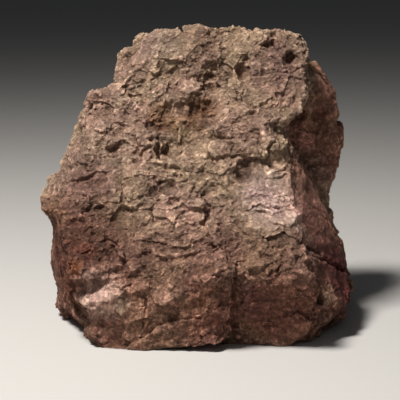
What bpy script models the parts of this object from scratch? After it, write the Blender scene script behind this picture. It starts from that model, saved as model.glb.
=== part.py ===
"""A hand specimen of bauxite: one lump of rock, broken from its bed, lying on its flattest break.

The lump is made the way a block is dressed. Rough blocks are split to shape by flat breaks and
grown together, and the skin then gets what an earthy fracture has: spalls and scooped hollows,
lumps, cracks, ledges along the bed, and hackly facets.
Metres, +Z up, -Y is the front. The origin is on the ground, under the middle of the rock.
"""

import math

import bmesh
import bpy
import numpy as np
from mathutils import Vector, kdtree, noise

MM = 0.001

# The block that every piece is split from, the grain of the worked skin, and the size of the
# finished mesh.
QUARRY_SIZE = 400 * MM
SKIN_VOXEL = 1.2 * MM
TRIANGLES = 9600

# Dry bauxite in linear colour, and how matt it is.
BAUXITE = (0.26, 0.16, 0.115, 1)
DULLNESS = 0.92

# What the weather and the break did to the skin, in mm. The bed is the way the layers lie:
# it rises to the right, so its up direction leans left.
SEED = 59
BED_UP = Vector((-0.17, -0.12, 0.98)).normalized()
LAYER = 9.5
LAYER_WAVE = 0.9
LEDGE = 1.3
LEDGE_SHARE = 0.5
LEDGE_PATCHINESS = 1.4
ELSEWHERE = Vector((7, 3, 1))
LUMP_SIZE = 26
LUMP = 1.6
LUMP_SOFTNESS = 0.9
LUMP_SHRINK = 2.1
LUMP_LEVELS = 2
COARSE_CELL = 15
COARSE_SLOPE = 0.12
COARSE_STEP = 0.35
FINE_CELL = 8
FINE_SLOPE = 0.07
FINE_STEP = 0.15
SMALL_PITS = 50
PIT_WIDTHS = (2.6, 5)
PIT_DEPTHS = (0.2, 0.4)
PIT_ROUNDNESS = 0.75
SETTLE = 1.0
BASE_CUT = 0.5 * MM
UNDERSIDE = 9
UNDERSIDE_TURN = 2.2

# The space that the cells and the pits are strewn in, as two corners in mm.
ROOM = (np.array((-80, -70, -20)), np.array((80, 70, 140)))

# Each break is (turn, tilt, a point on it in mm). Turn is the way the break faces seen from
# above, 0 to the front, 90 to the right, 180 to the back, and tilt is how far it faces up.
LOWER = {
    "leaning front": (-3, 33, (0, -41, 33)),
    "left side": (-73, -7, (-52.3, -25, 40)),
    "left back side": (-104, -6, (-62.5, 8, 40)),
    "left shoulder": (-74, 32, (-54, -2, 59)),
    "left underside": (-64, -36, (-54.5, 5, 3)),
    "right slope": (64, 24, (38, -32, 40)),
    "right upper slope": (100, 36, (56.4, 6, 47)),
    "right back side": (104, 17, (58, 8, 35)),
    "right side": (84, -6, (58.6, 4, 16)),
    "right underside": (56, -46, (55, -6, 3)),
    "front underside": (-5, -20, (0, -36, 10)),
    "top": (170, 80, (0, 0, 84)),
    "back": (174, 9, (0, 50, 36)),
    "back left": (-138, 5, (-46, 34, 40)),
    "back right": (140, 4, (50, 38, 30)),
    "ground": (0, -90, (0, 0, 0)),
}
LEFT_FOOT = {
    "face": (-8, -6, (-15, -44, 20)),
    "brow": (-17, 58, (-15, -43.5, 27)),
    "underside": (-6, -44, (-20, -41, 1.2)),
    "pale bevel": (-40, 48, (-35, -41.5, 21.5)),
    "left underside": (-66, -40, (-38.6, -38, 3.6)),
    "left corner": (-50, -10, (-40.5, -40.8, 14)),
    "left end": (-80, -4, (-43, -34, 14)),
    "right end": (64, -4, (12, -39, 15)),
    "back": (180, 0, (0, -5, 0)),
    "ground": (90, -84, (-20, 0, 0.4)),
}
RIGHT_FOOT = {
    "face": (8, -12, (28, -39.5, 30)),
    "brow": (-2, 52, (28, -38.5, 37)),
    "underside": (4, -34, (30, -36, 4.5)),
    "left end": (-70, 0, (17, -34, 15)),
    "right end": (62, -6, (43.5, -31, 20)),
    "right slope": (64, 24, (38.5, -32, 40)),
    "back": (180, 0, (30, -10, 0)),
    "ground": (0, -90, (0, 0, 1)),
}
LEFT_TIP = {
    "front": (-36, 2, (-56, -17, 48)),
    "left": (-88, -6, (-61.4, -6, 50)),
    "top": (-66, 44, (-59.2, -6, 55.2)),
    "underside": (-60, -50, (-60, -8, 44)),
    "back": (-150, 10, (-58, 4, 50)),
    "inner": (90, 0, (-53, 0, 50)),
}
SHOULDER = {
    "leaning front": (-10, 33, (-34, -7.5, 78)),
    "left": (-86, 3, (-45.5, 8, 84)),
    "top": (-160, 76, (-40, 10, 91.3)),
    "top left": (-75, 52, (-45.3, 8, 90.3)),
    "back": (178, 8, (-30, 40, 80)),
    "back left": (-128, 6, (-42, 28, 80)),
    "inner": (90, 0, (-20, 10, 80)),
    "bottom": (0, -90, (0, 10, 55)),
}
UPPER = {
    "leaning front": (-3, 31, (0, 0.8, 97)),
    "left": (-82, 6, (-33.5, 16, 97)),
    "top left": (-62, 44, (-26, 18, 107.2)),
    "top": (176, 79, (-5, 16, 115)),
    "right": (90, 0, (24, 10, 95)),
    "back": (176, 24, (0, 40, 92)),
    "back left": (-130, 16, (-27, 34, 92)),
    "bottom": (0, -90, (0, 10, 78)),
}
HORN = {
    "leaning front": (9, 30, (28, 1, 98)),
    "right": (84, 5, (42.2, 10, 98)),
    "right top": (72, 50, (41.9, 14, 111.6)),
    "top": (172, 80, (27, 13, 114.8)),
    "underside": (56, -48, (40, 0, 83)),
    "left": (-104, 20, (12, 0, 96)),
    "back": (168, 28, (26, 36, 100)),
    "bottom": (0, -90, (24, 4, 76)),
}
BACK_LOBE = {
    "front": (30, 6, (50, 19, 72)),
    "upper right": (80, 37, (47.5, 32, 98)),
    "right": (86, 3, (57.2, 34, 78)),
    "lower right": (86, -7, (57.4, 34, 63)),
    "underside": (84, -26, (54, 34, 47)),
    "top": (120, 70, (38, 34, 107)),
    "top left": (-50, 66, (30, 34, 106)),
    "back": (168, 4, (34, 50, 66)),
    "back right": (124, 0, (55, 43, 66)),
    "lower back": (176, -34, (34, 50, 46)),
    "bottom": (70, -60, (44, 34, 32)),
    "inner": (-84, 38, (12, 40, 90)),
    "back left": (-152, 22, (6, 49, 66)),
    "floor": (0, -90, (30, 40, 24)),
}
BLOCKS = {
    "left_foot": LEFT_FOOT,
    "right_foot": RIGHT_FOOT,
    "left_tip": LEFT_TIP,
    "shoulder": SHOULDER,
    "upper": UPPER,
    "horn": HORN,
    "back_lobe": BACK_LOBE,
}

# Wedges knocked out of the lump, written as the blocks that fell away.
WEDGES = {
    "scar": {
        "floor": (186, -39, (25, -36.8, 41)),
        "roof": (176, 62, (25, -18.5, 70.5)),
        "left": (-92, 10, (15, -24, 60)),
    },
    "notch": {
        "upper": (-96, 50, (31.5, -2, 77)),
        "lower": (-86, -30, (31.5, -2, 77)),
        "back": (166, 0, (40, 16, 77)),
    },
    "groove": {
        "left": (-125, 4, (14.5, -36.5, 20)),
        "right": (106, 4, (14.5, -36.5, 20)),
        "top": (176, 55, (14, -40, 36)),
    },
    "back step": {
        "floor": (-8, -38, (-10, 47, 38)),
        "roof": (0, 72, (-10, 46, 56)),
        "left": (-90, 10, (-26, 46, 46)),
    },
}

# Bowls worn into the faces: (centre, half sizes) in mm.
BOWLS = {
    "olive bowl": ((-7.3, -26.2, 87.5), (23, 23, 22)),
    "under the left tip": ((-68, 2, 34), (11, 18, 12)),
    "back left": ((-54, 50, 36), (18, 16, 18)),
    "back right": ((30, 66, 26), (24, 16, 15)),
    "top": ((15, 19, 121), (16, 13, 7.8)),
    "right side": ((66, 10, 32), (9, 13, 8)),
}

# Pits and hollows on the front, as (x, z, half width, half height, depth) in mm.
FRONT_PITS = [
    (15.9, 99, 3.8, 3.8, 4.5),
    (17.2, 103, 2.8, 2.4, 2.4),
    (34.8, 103, 3.4, 3.8, 3.6),
    (26.8, 109, 3.8, 2.6, 2.6),
    (4, 95, 3.8, 4.2, 3.6),
    (30, 89.5, 2.8, 1.8, 1.6),
    (-31, 71.5, 3, 3.2, 3.2),
    (-34, 84, 3, 3, 1.6),
    (-14.5, 70.5, 3, 3.8, 4.5),
    (2, 63.5, 3.8, 3, 0.6),
    (18.5, 76, 4.5, 1.8, 2),
    (15.8, 66, 3.2, 4.4, 2.5),
    (-14, 58.5, 6.5, 4.0, 2.6),
    (-37, 54, 4.4, 2.6, 1.6),
    (4.6, 37.5, 3, 2.2, 2),
    (11, 39.5, 3, 2.2, 1.4),
    (-24, 90, 4, 3, 1.6),
]

# Places where the break is clean and the skin smoother, as (middle, radius) in mm.
CALM = {
    "scar": ((27, -27, 56), 18),
    "right slope": ((50, -14, 40), 27),
    "left side": ((-58, -4, 28), 25),
    "left foot": ((-14, -42, 12), 24),
    "right foot": ((31, -37, 14), 20),
    "middle": ((3, -22, 58), 9),
}
CALMER = 0.72
CALM_EDGE = 2

# Open cracks, as (the points it runs through, half width, depth) in mm.
CRACKS = [
    (((38, -33, 37), (43, -26, 35), (50, -12, 31), (58, 4, 27)), 2, 2.6),
]


def point(xyz):
    return Vector(xyz) * MM


def facing(turn, tilt):
    """The outward direction of a break that faces this way."""
    turn, tilt = math.radians(turn), math.radians(tilt)
    flat = math.cos(tilt)
    return Vector((math.sin(turn) * flat, -math.cos(turn) * flat, math.sin(tilt)))


def split_block(name, breaks, collection):
    """One convex block: a big cube with everything outside each break taken off."""
    work = bmesh.new()
    bmesh.ops.create_cube(work, size=QUARRY_SIZE)
    for turn, tilt, on_it in breaks.values():
        cut = bmesh.ops.bisect_plane(
            work,
            geom=work.verts[:] + work.edges[:] + work.faces[:],
            plane_co=point(on_it),
            plane_no=facing(turn, tilt),
            clear_outer=True,
        )
        rim = [item for item in cut["geom_cut"] if isinstance(item, bmesh.types.BMEdge)]
        bmesh.ops.contextual_create(work, geom=rim)
    bmesh.ops.recalc_face_normals(work, faces=work.faces[:])
    mesh = bpy.data.meshes.new(name)
    work.to_mesh(mesh)
    work.free()
    block = bpy.data.objects.new(name, mesh)
    collection.objects.link(block)
    return block


def round_block(name, centre, half_sizes, collection):
    """An egg-shaped block, for taking a bowl out of a face."""
    work = bmesh.new()
    bmesh.ops.create_icosphere(work, subdivisions=3, radius=MM)
    for vert in work.verts:
        vert.co = point(centre) + vert.co * Vector(half_sizes)
    mesh = bpy.data.meshes.new(name)
    work.to_mesh(mesh)
    work.free()
    block = bpy.data.objects.new(name, mesh)
    collection.objects.link(block)
    return block


def new_collection(name, scene):
    """A collection of helper blocks that are never rendered."""
    helpers = bpy.data.collections.new(name)
    helpers.hide_render = True
    scene.children.link(helpers)
    return helpers


def combine(rock, operation, helpers):
    """Adds or takes away every block in the collection."""
    step = rock.modifiers.new(operation.lower(), "BOOLEAN")
    step.operation = operation
    step.operand_type = "COLLECTION"
    step.collection = helpers
    for block in helpers.objects:
        block.hide_render = True
        block.display_type = "WIRE"


def fix_shape(rock):
    """The modifiers worked out, once, into plain mesh."""
    graph = bpy.context.evaluated_depsgraph_get()
    mesh = bpy.data.meshes.new_from_object(rock.evaluated_get(graph))
    rock.modifiers.clear()
    rock.data = mesh


def even_skin(rock):
    """One closed skin of small, even faces, with every fold healed."""
    skin = rock.modifiers.new("skin", "REMESH")
    skin.mode = "VOXEL"
    skin.voxel_size = SKIN_VOXEL
    fix_shape(rock)


def block_out(scene):
    """The blocks joined into one body, the wedges and bowls taken out, and an even skin."""
    added = new_collection("added", scene)
    taken = new_collection("taken", scene)
    rock = split_block("bauxite_rock", LOWER, scene)
    for name, breaks in BLOCKS.items():
        split_block(name, breaks, added)
    for name, breaks in WEDGES.items():
        split_block(name, breaks, taken)
    for name, (centre, half_sizes) in BOWLS.items():
        round_block(name, centre, half_sizes, taken)
    combine(rock, "UNION", added)
    combine(rock, "DIFFERENCE", taken)
    even_skin(rock)
    for helpers in (added, taken):
        for block in list(helpers.objects):
            bpy.data.objects.remove(block)
        bpy.data.collections.remove(helpers)
    return rock


def read_skin(rock):
    """The points of the skin in mm, and the way each of them faces."""
    points = np.empty(len(rock.data.vertices) * 3)
    facings = np.empty_like(points)
    rock.data.vertices.foreach_get("co", points)
    rock.data.vertices.foreach_get("normal", facings)
    return points.reshape(-1, 3) / MM, facings.reshape(-1, 3)


def lumps(points):
    """Slow swells, so that no break is truly flat."""
    shape = (LUMP_SOFTNESS, LUMP_SHRINK, LUMP_LEVELS)
    return LUMP * np.array([noise.fractal(Vector(p) / LUMP_SIZE, *shape) for p in points])


def ledges(points, facings):
    """Layers along the bed: each one leans out towards its top and then steps back."""
    wave = np.array([noise.noise(Vector(p) / LUMP_SIZE) for p in points])
    patches = np.array([noise.noise(Vector(p) / LUMP_SIZE + ELSEWHERE) for p in points])
    share = np.clip(LEDGE_SHARE + LEDGE_PATCHINESS * patches, 0, 1)
    height = points @ np.array(BED_UP) / LAYER + LAYER_WAVE * wave
    across = 1 - np.abs(facings @ np.array(BED_UP))
    return LEDGE * (height % 1 - 0.5) * across * share


def hackles(points, rng, size, slope, step):
    """Hackly facets: the skin in cells, each leaning its own way and set in or out a little."""
    low, high = ROOM
    count = int(np.prod((high - low) / size))
    middles = rng.uniform(low, high, (count, 3))
    tree = kdtree.KDTree(count)
    for number, middle in enumerate(middles):
        tree.insert(middle, number)
    tree.balance()
    owner = np.array([tree.find(p)[1] for p in points])
    lean = rng.normal(0, slope, (count, 3))[owner]
    return np.einsum("ij,ij->i", points - middles[owner], lean) + rng.uniform(-step, step, count)[owner]


def roughness(points):
    """How much the weather shows: full on most of the skin, little on the clean breaks."""
    calm = np.zeros(len(points))
    for middle, radius in CALM.values():
        away = np.linalg.norm(points - np.array(middle), axis=1) / radius
        calm = np.maximum(calm, np.clip(CALM_EDGE * (1 - away), 0, 1))
    return 1 - CALMER * calm


def bowl_at(distance):
    """A round-bottomed pit, one deep at the middle and nothing at the rim."""
    return np.clip(1 - distance ** 2, 0, 1) ** PIT_ROUNDNESS


def front_pits(points, facings):
    """The pits and shadowed hollows on the front, each pressed straight back."""
    total = np.zeros(len(points))
    for x, z, wide, high, depth in FRONT_PITS:
        away = np.hypot((points[:, 0] - x) / wide, (points[:, 2] - z) / high)
        total -= depth * bowl_at(away) * (facings[:, 1] < 0)
    return total


def scattered_pits(points, rng):
    """Small pits strewn over the whole skin."""
    total = np.zeros(len(points))
    for spot in rng.uniform(*ROOM, (SMALL_PITS, 3)):
        middle = points[np.argmin(np.linalg.norm(points - spot, axis=1))]
        wide = rng.uniform(*PIT_WIDTHS)
        away = np.linalg.norm(points - middle, axis=1) / wide
        total -= wide * rng.uniform(*PIT_DEPTHS) * bowl_at(away)
    return total


def cracks(points):
    """Open cracks: narrow grooves that follow a bent line over the right slope."""
    total = np.zeros(len(points))
    for line, wide, depth in CRACKS:
        line = np.array(line, dtype=float)
        nearest = np.full(len(points), np.inf)
        for start, end in zip(line, line[1:]):
            along = np.clip((points - start) @ (end - start) / np.dot(end - start, end - start), 0, 1)
            off = np.linalg.norm(points - start - along[:, None] * (end - start), axis=1)
            nearest = np.minimum(nearest, off)
        total -= depth * bowl_at(nearest / wide)
    return total


def weather(rock):
    """Moves every point of the skin in or out along the way it faces."""
    rng = np.random.default_rng(SEED)
    points, facings = read_skin(rock)
    moved = lumps(points) + ledges(points, facings) + scattered_pits(points, rng)
    moved += hackles(points, rng, COARSE_CELL, COARSE_SLOPE, COARSE_STEP)
    moved += hackles(points, rng, FINE_CELL, FINE_SLOPE, FINE_STEP)
    moved *= roughness(points)
    moved += front_pits(points, facings) + cracks(points) - SETTLE
    under = np.clip(-UNDERSIDE_TURN * facings[:, 2], 0, 1) * (points[:, 2] < UNDERSIDE)
    moved *= 1 - under
    points += facings * moved[:, None]
    rock.data.vertices.foreach_set("co", (points * MM).ravel())
    rock.data.update()
    even_skin(rock)


def thin_out(rock):
    """Fewer, larger faces, kept where the skin bends most."""
    triangles = sum(len(face.vertices) - 2 for face in rock.data.polygons)
    fewer = rock.modifiers.new("thin_out", "DECIMATE")
    fewer.ratio = TRIANGLES / triangles
    fix_shape(rock)


def drop_crumbs(work):
    """Only the lump itself is kept: everything not joined to its highest point goes."""
    start = max(work.verts, key=lambda vert: vert.co.z)
    reached, edge = {start}, [start]
    while edge:
        vert = edge.pop()
        for link in vert.link_edges:
            other = link.other_vert(vert)
            if other not in reached:
                reached.add(other)
                edge.append(other)
    crumbs = [vert for vert in work.verts if vert not in reached]
    bmesh.ops.delete(work, geom=crumbs, context="VERTS")


def cut_base(rock):
    """The resting break, cut truly flat, with the origin put on it under the middle."""
    work = bmesh.new()
    work.from_mesh(rock.data)
    drop_crumbs(work)
    cut = bmesh.ops.bisect_plane(
        work,
        geom=work.verts[:] + work.edges[:] + work.faces[:],
        plane_co=(0, 0, BASE_CUT),
        plane_no=(0, 0, -1),
        clear_outer=True,
    )
    rim = [item for item in cut["geom_cut"] if isinstance(item, bmesh.types.BMEdge)]
    bmesh.ops.contextual_create(work, geom=rim)
    bmesh.ops.triangulate(work, faces=work.faces[:])
    bmesh.ops.recalc_face_normals(work, faces=work.faces[:])
    corners = np.array([vert.co for vert in work.verts])
    middle = (corners.min(axis=0) + corners.max(axis=0)) / 2
    bmesh.ops.translate(work, verts=work.verts[:], vec=(-middle[0], -middle[1], -BASE_CUT))
    work.to_mesh(rock.data)
    work.free()


def finish(rock):
    """Earthy, dull and pinkish brown, the same all over."""
    earth = bpy.data.materials.new("bauxite")
    earth.use_nodes = True
    shader = earth.node_tree.nodes["Principled BSDF"]
    shader.inputs["Base Color"].default_value = BAUXITE
    shader.inputs["Roughness"].default_value = DULLNESS
    shader.inputs["Metallic"].default_value = 0
    rock.data.materials.clear()
    rock.data.materials.append(earth)
    rock.data.shade_flat()


def main():
    for old in list(bpy.data.objects):
        bpy.data.objects.remove(old)
    scene = bpy.context.scene.collection
    rock = block_out(scene)
    weather(rock)
    thin_out(rock)
    cut_base(rock)
    finish(rock)
    print(len(rock.data.polygons), "triangles in the rock")


main()
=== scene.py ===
# %% [markdown]
# # A hand specimen of bauxite
#
# Bauxite is the earthy ore of aluminium. It is dull, dry and crumbly, and it breaks into hackly
# chips, thin ledges and pits. The solid that this lesson starts from already has the lump's big
# forms. What is made here is its skin: the fine relief, as real mesh, and the stains and dust.
#
# The frame gives the solid in metres. Its box is kept now, before anything is added to it.

# %% Load the solid
import itertools
import math

import bmesh
import bpy
import numpy as np
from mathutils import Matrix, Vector


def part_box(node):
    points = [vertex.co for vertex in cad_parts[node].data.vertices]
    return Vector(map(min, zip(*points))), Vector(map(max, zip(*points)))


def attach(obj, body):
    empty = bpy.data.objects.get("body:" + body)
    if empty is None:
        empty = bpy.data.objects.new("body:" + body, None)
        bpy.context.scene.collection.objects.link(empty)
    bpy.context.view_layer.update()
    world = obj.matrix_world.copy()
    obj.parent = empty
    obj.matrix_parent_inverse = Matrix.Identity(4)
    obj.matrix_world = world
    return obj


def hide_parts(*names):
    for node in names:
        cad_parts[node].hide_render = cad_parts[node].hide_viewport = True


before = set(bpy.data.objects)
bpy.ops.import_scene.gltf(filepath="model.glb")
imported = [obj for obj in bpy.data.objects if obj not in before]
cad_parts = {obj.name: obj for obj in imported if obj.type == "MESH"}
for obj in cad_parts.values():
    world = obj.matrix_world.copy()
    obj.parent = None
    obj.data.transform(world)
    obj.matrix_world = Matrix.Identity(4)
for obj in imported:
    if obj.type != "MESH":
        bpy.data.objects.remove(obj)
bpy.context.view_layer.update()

MM = 0.001
rock_low, rock_high = (np.array(corner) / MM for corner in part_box("bauxite_rock"))
print("the solid is", (rock_high - rock_low).round(1), "mm")

# %% [markdown]
# ## Camera, floor and light
#
# The rock is seen from a little above, through a long lens, so it keeps its proportions. The
# floor is a plain pale plane that runs past the picture's top edge. The key light is a soft
# panel above the rock's left shoulder: it rakes down the leaning face, which is what makes
# ledges and pits readable, and leaves the right side in shade.

# %% Camera
LOOK_AT = Vector((0.7, -5.1, 48.5)) * MM
CAMERA_RISE = math.radians(10)
CAMERA_AWAY = 500 * MM
SENSOR = 36
LENS = 115.6


def aim(thing, target):
    """Turns a camera or a lamp so that it looks at a point."""
    thing.rotation_euler = (target - thing.location).to_track_quat("-Z", "Y").to_euler()


camera = bpy.data.objects.new("camera", bpy.data.cameras.new("camera"))
bpy.context.scene.collection.objects.link(camera)
camera.data.sensor_width = SENSOR
camera.data.lens = LENS
camera.location = LOOK_AT + CAMERA_AWAY * Vector((0, -math.cos(CAMERA_RISE), math.sin(CAMERA_RISE)))
aim(camera, LOOK_AT)
bpy.context.scene.camera = camera
print("the camera is", round(CAMERA_AWAY / MM), "mm away")


# %% Lamps
LAMPS = {
    # name: (place in metres, size in metres, watts, colour)
    "key": ((-0.22, -0.22, 0.64), 0.15, 8.1, (1.0, 0.965, 0.92)),
    "fill": ((-0.2, -1.5, 0.9), 1.2, 2.0, (0.98, 0.98, 1.0)),
}
SKY = (0.30, 0.31, 0.33, 1)
SKY_STRENGTH = 0.12

for name, (place, size, watts, colour) in LAMPS.items():
    lamp = bpy.data.objects.new(name, bpy.data.lights.new(name, "AREA"))
    bpy.context.scene.collection.objects.link(lamp)
    lamp.location = place
    lamp.data.size = size
    lamp.data.energy = watts
    lamp.data.color = colour
    aim(lamp, LOOK_AT)

world = bpy.data.worlds.new("studio")
world.use_nodes = True
world.node_tree.nodes["Background"].inputs["Color"].default_value = SKY
world.node_tree.nodes["Background"].inputs["Strength"].default_value = SKY_STRENGTH
bpy.context.scene.world = world
bpy.context.scene.view_settings.view_transform = "Standard"
print(len(LAMPS), "lamps")

# %% [markdown]
# ## Node trees as sums
#
# Both the relief and the colours are worked out by node trees. Written out link by link they
# are hard to read, so two small classes come first. A `Wire` is one socket that can be added,
# multiplied and compared like a number: each operator adds its Math node. A `Net` is a tree
# that makes any other node from its type, its settings and what goes into its sockets.

# %% Wires and nets


class Wire:
    """An output socket that can be used in a Python sum."""

    def __init__(self, net, socket):
        self.net = net
        self.socket = socket

    def sum(self, operation, *values):
        return self.net.node("ShaderNodeMath", {"operation": operation}, dict(enumerate(values)))

    def __add__(self, other):
        return self.sum("ADD", self, other)

    def __sub__(self, other):
        return self.sum("SUBTRACT", self, other)

    def __rsub__(self, other):
        return self.sum("SUBTRACT", other, self)

    def __mul__(self, other):
        return self.sum("MULTIPLY", self, other)

    def __truediv__(self, other):
        return self.sum("DIVIDE", self, other)

    def __rtruediv__(self, other):
        return self.sum("DIVIDE", other, self)

    def __pow__(self, other):
        return self.sum("POWER", self, other)

    def __gt__(self, other):
        return self.sum("GREATER_THAN", self, other)

    def __neg__(self):
        return self.sum("MULTIPLY", self, -1)

    __radd__ = __add__
    __rmul__ = __mul__

    def also(self, out):
        """Another output of the node that this one comes from."""
        return Wire(self.net, self.net.pick(self.socket.node.outputs, out))

    def centred(self):
        """A value from 0 to 1 with its middle moved to 0."""
        return self - 0.5

    def lifted(self, least):
        """A value from 0 to 1, squeezed so that it doesn't fall below the least."""
        return least + (1 - least) * self

    def fraction(self):
        return self.sum("FRACT", self)

    def size(self):
        return self.sum("ABSOLUTE", self)

    def root(self):
        return self.sum("SQRT", self)

    def smaller(self, other):
        return self.sum("MINIMUM", self, other)

    def larger(self, other):
        return self.sum("MAXIMUM", self, other)

    def ramp(self, low, high, start=0.0, end=1.0):
        """Rises smoothly from start to end while the value goes from low to high."""
        settings = {"interpolation_type": "SMOOTHSTEP"}
        values = {"Value": self, "From Min": low, "From Max": high, "To Min": start, "To Max": end}
        return self.net.node("ShaderNodeMapRange", settings, values)


class Net:
    """A node tree that is built by calls."""

    def __init__(self, tree):
        self.tree = tree

    def node(self, kind, settings=None, values=None, out=0):
        """Makes a node, sets its options, fills its sockets and gives back one output."""
        made = self.tree.nodes.new(kind)
        for name, value in (settings or {}).items():
            setattr(made, name, value)
        for key, value in (values or {}).items():
            socket = self.pick(made.inputs, key)
            if isinstance(value, Wire):
                self.tree.links.new(value.socket, socket)
            else:
                socket.default_value = value
        return Wire(self, self.pick(made.outputs, out)) if made.outputs else None

    @staticmethod
    def pick(sockets, key):
        """The socket at a place in the list, or with a name, among those that are in use."""
        used = [socket for socket in sockets if socket.enabled]
        return used[key] if isinstance(key, int) else next(s for s in used if s.name == key)

    def vector(self, operation, *values):
        return self.node("ShaderNodeVectorMath", {"operation": operation}, dict(enumerate(values)))

    def cells(self, place, out="Distance"):
        """Space cut into cells about one unit wide, each round its own middle."""
        return self.node("ShaderNodeTexVoronoi", None, {"Vector": place, "Scale": 1.0}, out)

    def noise(self, place, size, detail=2.0, rough=0.5, out="Fac"):
        """Cloudy noise whose blobs are about this size, from 0 to 1."""
        values = {"Vector": place, "Scale": 1 / size, "Detail": detail, "Roughness": rough}
        return self.node("ShaderNodeTexNoise", None, values, out)

    def blend(self, share, low, high, how="MIX"):
        """One colour going over into another, or multiplied by it."""
        settings = {"data_type": "RGBA", "blend_type": how}
        return self.node("ShaderNodeMix", settings, {"Factor": share, "A": low, "B": high})


print("wires and nets are ready")

# %% [markdown]
# ## The skin that the relief is cut in
#
# The solid's own faces are a few millimetres wide, which is too coarse for chips and pits. A
# copy of it is merged, turned into an even grid of faces about half a millimetre wide, and
# smoothed just enough to lose the old edges. A voxel grid is used because it gives every side of
# the rock the same fine grain, whatever faces were there before.

# %% Fine skin
GRID = 0.45 * MM
MERGE = 0.01 * MM
SMOOTH_SHARE = 0.5
SMOOTH_ROUNDS = 9


def bake_modifiers(piece):
    """The piece as its modifiers make it, turned into plain mesh."""
    graph = bpy.context.evaluated_depsgraph_get()
    mesh = bpy.data.meshes.new_from_object(piece.evaluated_get(graph))
    piece.modifiers.clear()
    piece.data = mesh


rock = bpy.data.objects.new("bauxite_skin", bpy.data.objects["bauxite_rock"].data.copy())
bpy.context.scene.collection.objects.link(rock)
merged = bmesh.new()
merged.from_mesh(rock.data)
bmesh.ops.remove_doubles(merged, verts=merged.verts[:], dist=MERGE)
merged.to_mesh(rock.data)
merged.free()

grid = rock.modifiers.new("grid", "REMESH")
grid.mode = "VOXEL"
grid.voxel_size = GRID
smooth = rock.modifiers.new("smooth", "SMOOTH")
smooth.factor = SMOOTH_SHARE
smooth.iterations = SMOOTH_ROUNDS
bake_modifiers(rock)
print("the skin has", len(rock.data.vertices), "points")

# %% [markdown]
# ## Marks made one by one
#
# Some marks on the front belong to this stone and no other: the deep holes near the top, the
# shaded hollows, the pale plates and ledges between them, a tooth of earth in a socket, sharp
# lips and cracks. A sculpting brush could make them, but a brush stroke can't be read or
# changed. So each mark is a line in a table, placed across and up the front in millimetres, and
# turns into a number on every point of the skin: how far the mark lifts or sinks it there.
# Further on, some of them also tint the colour: painted shade in the hollows, and on the plates
# paler earth together with painted light.

# %% Places on the skin
FRONT_GAIN = 3
CLOUD_TABLE = 32


def skin_points():
    """Every point of the skin in mm, and the way it faces."""
    count = len(rock.data.vertices)
    places, facings = np.empty(count * 3), np.empty(count * 3)
    rock.data.vertices.foreach_get("co", places)
    rock.data.vertices.foreach_get("normal", facings)
    return places.reshape(-1, 3) / MM, facings.reshape(-1, 3)


def keep_number(name, values):
    """Stores one number for each point of the skin."""
    layer = rock.data.attributes.new(name, "FLOAT", "POINT")
    layer.data.foreach_set("value", values.astype(np.float32))


def clouds(points, size, seed):
    """Smooth random numbers from -1 to 1, in blobs about this many mm wide."""
    table = np.random.default_rng(seed).uniform(-1, 1, (CLOUD_TABLE,) * 3)
    base = np.floor(points / size).astype(int)
    part = points / size - base
    part = part * part * (3 - 2 * part)
    total = np.zeros(len(points))
    for corner in itertools.product((0, 1), repeat=3):
        share = np.prod(np.where(corner, part, 1 - part), axis=1)
        total += share * table[tuple(((base + corner) % CLOUD_TABLE).T)]
    return total


places, facings = skin_points()
faces_front = np.clip(-FRONT_GAIN * facings[:, 1], 0, 1)
print(round(faces_front.mean() * 100), "percent of the skin faces the front")

# %% [markdown]
# ### Ragged rims
#
# A true oval or a straight line would look drawn on: real stone gives way along its grains, so
# its marks have ragged rims. Smooth random numbers move the places before they are compared with
# the tables, a little for the sharp marks and further for the hollows and plates.

# %% Ragged places
# for across and then for up: the blobs that are added, each with its size in mm and its seed
WANDER_BLOBS = (((3.1, 11), (1.2, 12)), ((3.1, 13), (1.2, 14)))
DRIFT_BLOBS = (((7.0, 16),), ((7.0, 17),))
WANDER = 0.6
DRIFT = 1.4
PATCHY_SIZE = 4.0
PATCHY_SEED = 15
PATCHY_MIDDLE = 0.6
PATCHY_TOP = 1.2


def moved_about(blobs):
    """Smooth random moves across and up for every point of the skin."""
    ways = [sum(clouds(places, size, seed) for size, seed in way) for way in blobs]
    return np.stack(ways, axis=1)


spots = places[:, [0, 2]] + WANDER * moved_about(WANDER_BLOBS)
loose_spots = spots + DRIFT * moved_about(DRIFT_BLOBS)
patchy = np.clip(PATCHY_MIDDLE + clouds(places, PATCHY_SIZE, PATCHY_SEED), 0, PATCHY_TOP)
print("sharp marks wander by up to", round(np.abs(spots - places[:, [0, 2]]).max(), 1), "mm")

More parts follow.
